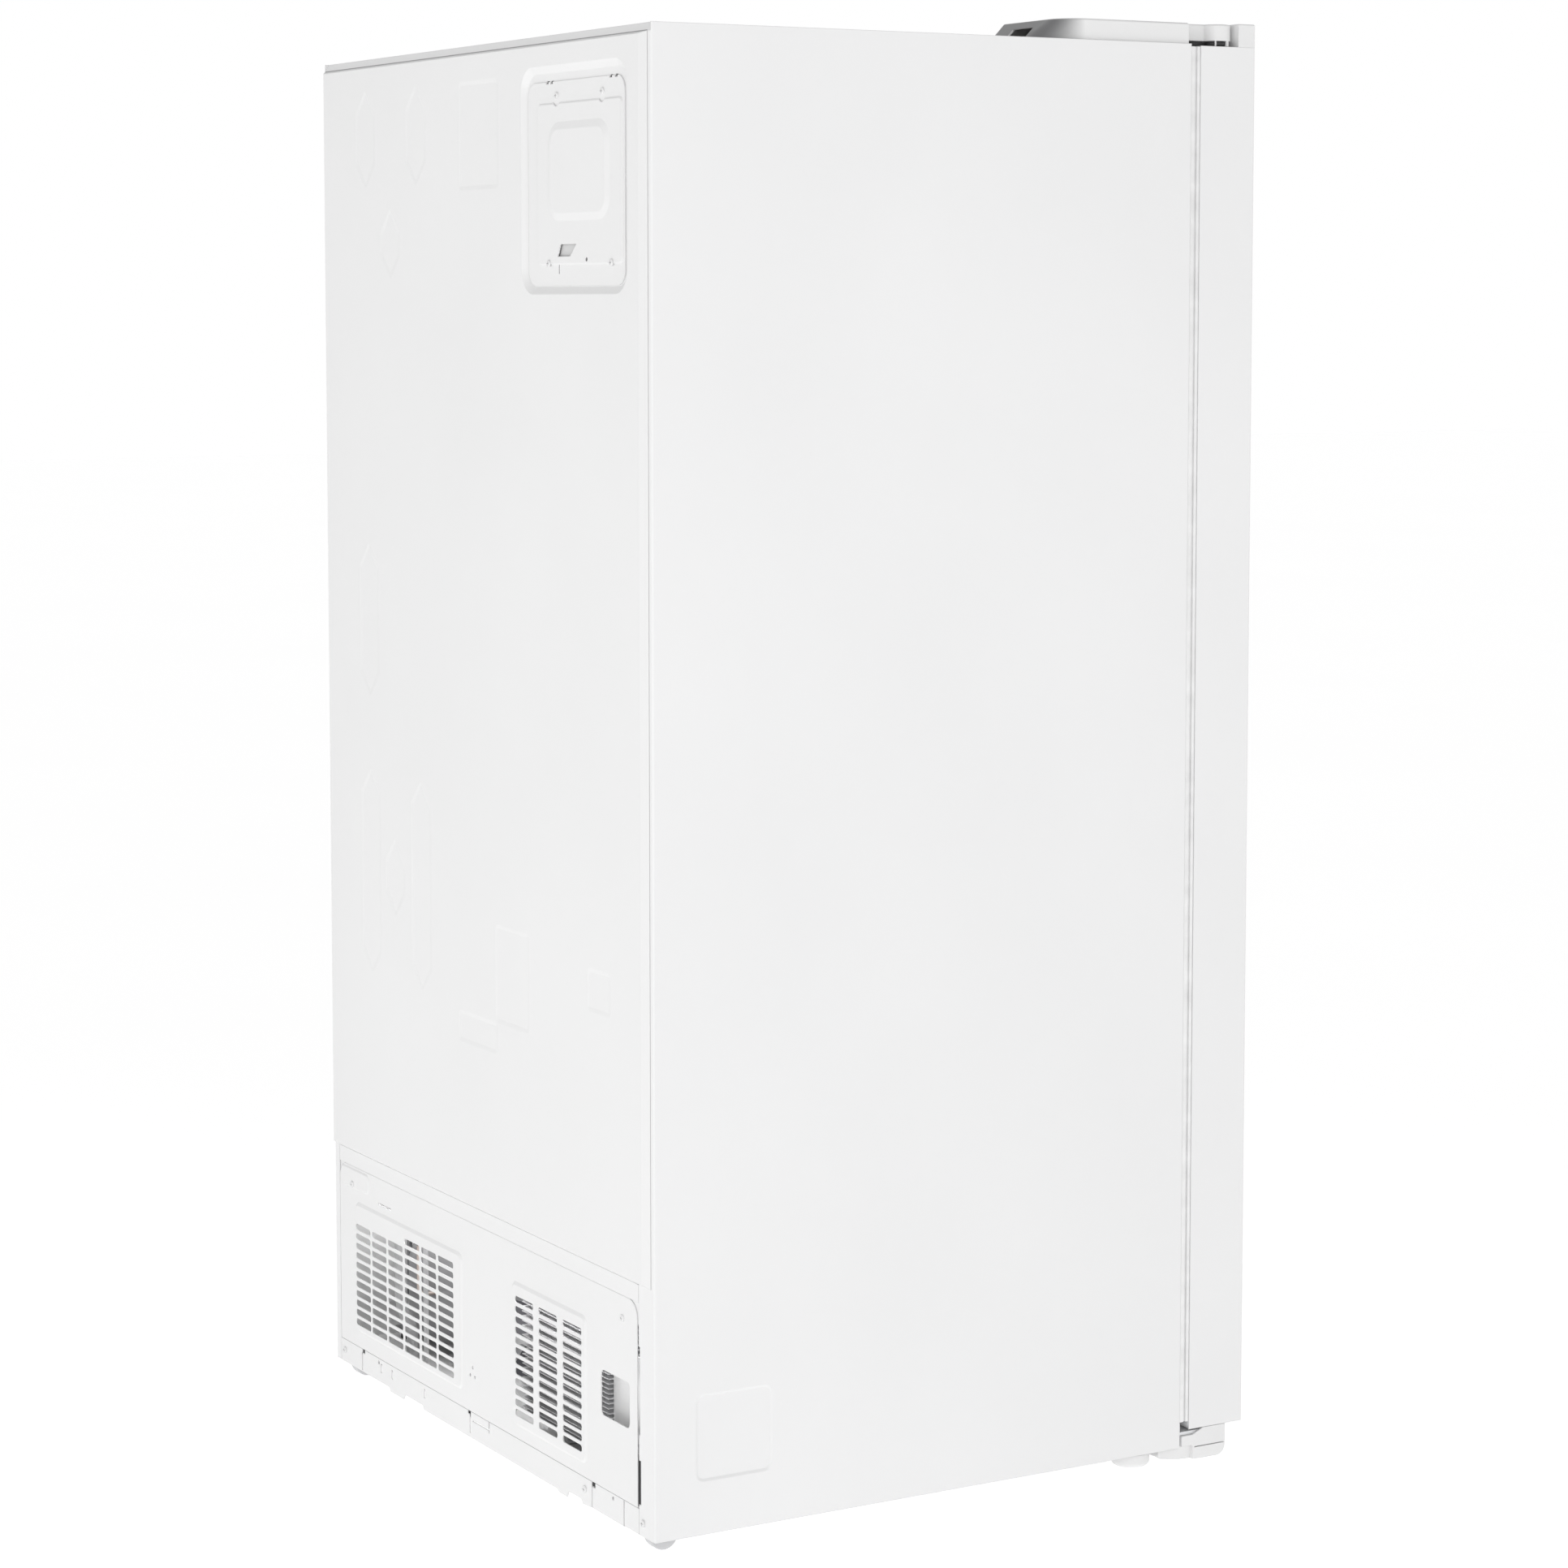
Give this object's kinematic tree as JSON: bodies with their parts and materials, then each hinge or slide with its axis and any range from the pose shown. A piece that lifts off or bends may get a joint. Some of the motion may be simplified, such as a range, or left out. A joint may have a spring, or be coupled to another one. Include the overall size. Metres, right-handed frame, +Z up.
{
  "type": "side-by-side refrigerator",
  "caption": "White free-standing side-by-side refrigerator-freezer with two hinged doors, a recessed control cover and a louvred machine compartment at the back.",
  "frame": {"origin": "on the floor, under the middle of the overall box", "axes": "+Z up, -Y towards the doors (front), +Y towards the rear panel, +X to the right seen from the front"},
  "size_m": [0.912, 0.8509, 1.778],
  "materials": {
    "case_paint": "satin white paint with a very fine orange peel",
    "rear_sheet": "pre-coated white sheet, satin",
    "coated_steel": "white pre-coated steel",
    "hinge_steel": "black painted steel",
    "roller_plastic": "light grey moulded plastic",
    "insulation": "rigid polyurethane foam",
    "white_liner": "vacuum-formed, semi-gloss",
    "white_trim": "moulded, fine texture",
    "gasket": "soft light grey vinyl",
    "clear_plastic": "clear moulded polystyrene",
    "shelf_glass": "tempered glass",
    "shelf_wire": "white coated wire",
    "compressor_paint": "grey semi-gloss paint",
    "rubber_black": "matte",
    "fin_aluminium": "thin fin stock",
    "copper": "drawn copper tube",
    "fan_plastic": "moulded",
    "board": "circuit board",
    "screw_steel": "zinc plated"
  },
  "bodies": {
    "cabinet": {"air_duct": "white_liner", "base_frame": "coated_steel", "bottom_hinge_covers": "white_trim", "bottom_hinges": "coated_steel", "cabinet_foam": "insulation", "compartment_deck": "coated_steel", "compressor": "compressor_paint", "compressor_grommets": "rubber_black", "condenser": "fin_aluminium", "control_board": "board", "control_box": "white_trim", "control_cover": "rear_sheet", "drain_pan": "fan_plastic", "evaporator": "fin_aluminium", "evaporator_cover": "white_liner", "fan_shroud": "white_trim", "freezer_liner": "white_liner", "freezer_shelves": "shelf_wire", "fridge_liner": "white_liner", "fridge_shelf_frames": "white_liner", "fridge_shelves": "shelf_glass", "front_frame": "case_paint", "ice_bucket": "clear_plastic", "ice_maker": "white_trim", "interior_lamps": "clear_plastic", "kick_grille": "white_trim", "machine_cover": "rear_sheet", "rear_panel": "rear_sheet", "rear_screws": "screw_steel", "refrigerant_lines": "copper", "side_panel_left": "case_paint", "side_panel_right": "case_paint", "top_hinge_covers": "white_trim", "top_hinges": "hinge_steel", "top_panel": "case_paint", "water_valve": "white_trim"},
    "freezer_door": {"freezer_door_bins": "clear_plastic", "freezer_door_caps": "white_trim", "freezer_door_foam": "insulation", "freezer_door_gasket": "gasket", "freezer_door_handle": "white_trim", "freezer_door_liner": "white_liner", "freezer_door_skin": "case_paint"},
    "fridge_door": {"fridge_door_bins": "clear_plastic", "fridge_door_caps": "white_trim", "fridge_door_foam": "insulation", "fridge_door_gasket": "gasket", "fridge_door_handle": "white_trim", "fridge_door_liner": "white_liner", "fridge_door_skin": "case_paint"},
    "freezer_drawer_upper": {"freezer_drawer_upper": "clear_plastic"},
    "freezer_drawer_lower": {"freezer_drawer_lower": "clear_plastic"},
    "crisper_upper": {"crisper_upper": "clear_plastic"},
    "crisper_lower": {"crisper_lower": "clear_plastic"},
    "condenser_fan": {"condenser_fan": "fan_plastic"},
    "evaporator_fan": {"evaporator_fan": "fan_plastic"},
    "rear_roller_left": {"rear_roller_left": "roller_plastic"},
    "rear_roller_right": {"rear_roller_right": "roller_plastic"},
    "levelling_leg_left": {"levelling_leg_left": "white_trim"},
    "levelling_leg_right": {"levelling_leg_right": "white_trim"}
  },
  "joints": [
    {"name": "freezer_door_hinge", "type": "hinge", "parent": "cabinet", "child": "freezer_door", "pos_m": [-0.434, -0.3675, 0.9], "axis": [0, 0, -1], "range_deg": [0, 120]},
    {"name": "fridge_door_hinge", "type": "hinge", "parent": "cabinet", "child": "fridge_door", "pos_m": [0.434, -0.3675, 0.9], "axis": [0, 0, 1], "range_deg": [0, 120]},
    {"name": "freezer_drawer_upper_slide", "type": "slide", "parent": "cabinet", "child": "freezer_drawer_upper", "axis": [0, -1, 0], "range_m": [0, 0.235]},
    {"name": "freezer_drawer_lower_slide", "type": "slide", "parent": "cabinet", "child": "freezer_drawer_lower", "axis": [0, -1, 0], "range_m": [0, 0.235]},
    {"name": "crisper_upper_slide", "type": "slide", "parent": "cabinet", "child": "crisper_upper", "axis": [0, -1, 0], "range_m": [0, 0.235]},
    {"name": "crisper_lower_slide", "type": "slide", "parent": "cabinet", "child": "crisper_lower", "axis": [0, -1, 0], "range_m": [0, 0.235]},
    {"name": "condenser_fan_spin", "type": "hinge", "parent": "cabinet", "child": "condenser_fan", "pos_m": [0, 0.3, 0.142], "axis": [1, 0, 0], "continuous": true},
    {"name": "evaporator_fan_spin", "type": "hinge", "parent": "cabinet", "child": "evaporator_fan", "pos_m": [-0.246, 0.32, 1.06], "axis": [0, 1, 0], "continuous": true},
    {"name": "rear_roller_left_spin", "type": "hinge", "parent": "cabinet", "child": "rear_roller_left", "pos_m": [-0.421, 0.396, 0.018], "axis": [1, 0, 0], "continuous": true},
    {"name": "rear_roller_right_spin", "type": "hinge", "parent": "cabinet", "child": "rear_roller_right", "pos_m": [0.421, 0.396, 0.018], "axis": [1, 0, 0], "continuous": true},
    {"name": "levelling_leg_left_turn", "type": "hinge", "parent": "cabinet", "child": "levelling_leg_left", "pos_m": [-0.427, -0.263, 0.02], "axis": [0, 0, 1], "continuous": true},
    {"name": "levelling_leg_right_turn", "type": "hinge", "parent": "cabinet", "child": "levelling_leg_right", "pos_m": [0.427, -0.263, 0.02], "axis": [0, 0, 1], "continuous": true}
  ],
  "couplings": [
    {"joint": "freezer_drawer_upper_slide", "follows": "freezer_door_hinge", "m_per_rad": 0.11},
    {"joint": "freezer_drawer_lower_slide", "follows": "freezer_door_hinge", "m_per_rad": 0.11},
    {"joint": "crisper_upper_slide", "follows": "fridge_door_hinge", "m_per_rad": 0.11},
    {"joint": "crisper_lower_slide", "follows": "fridge_door_hinge", "m_per_rad": 0.11}
  ]
}
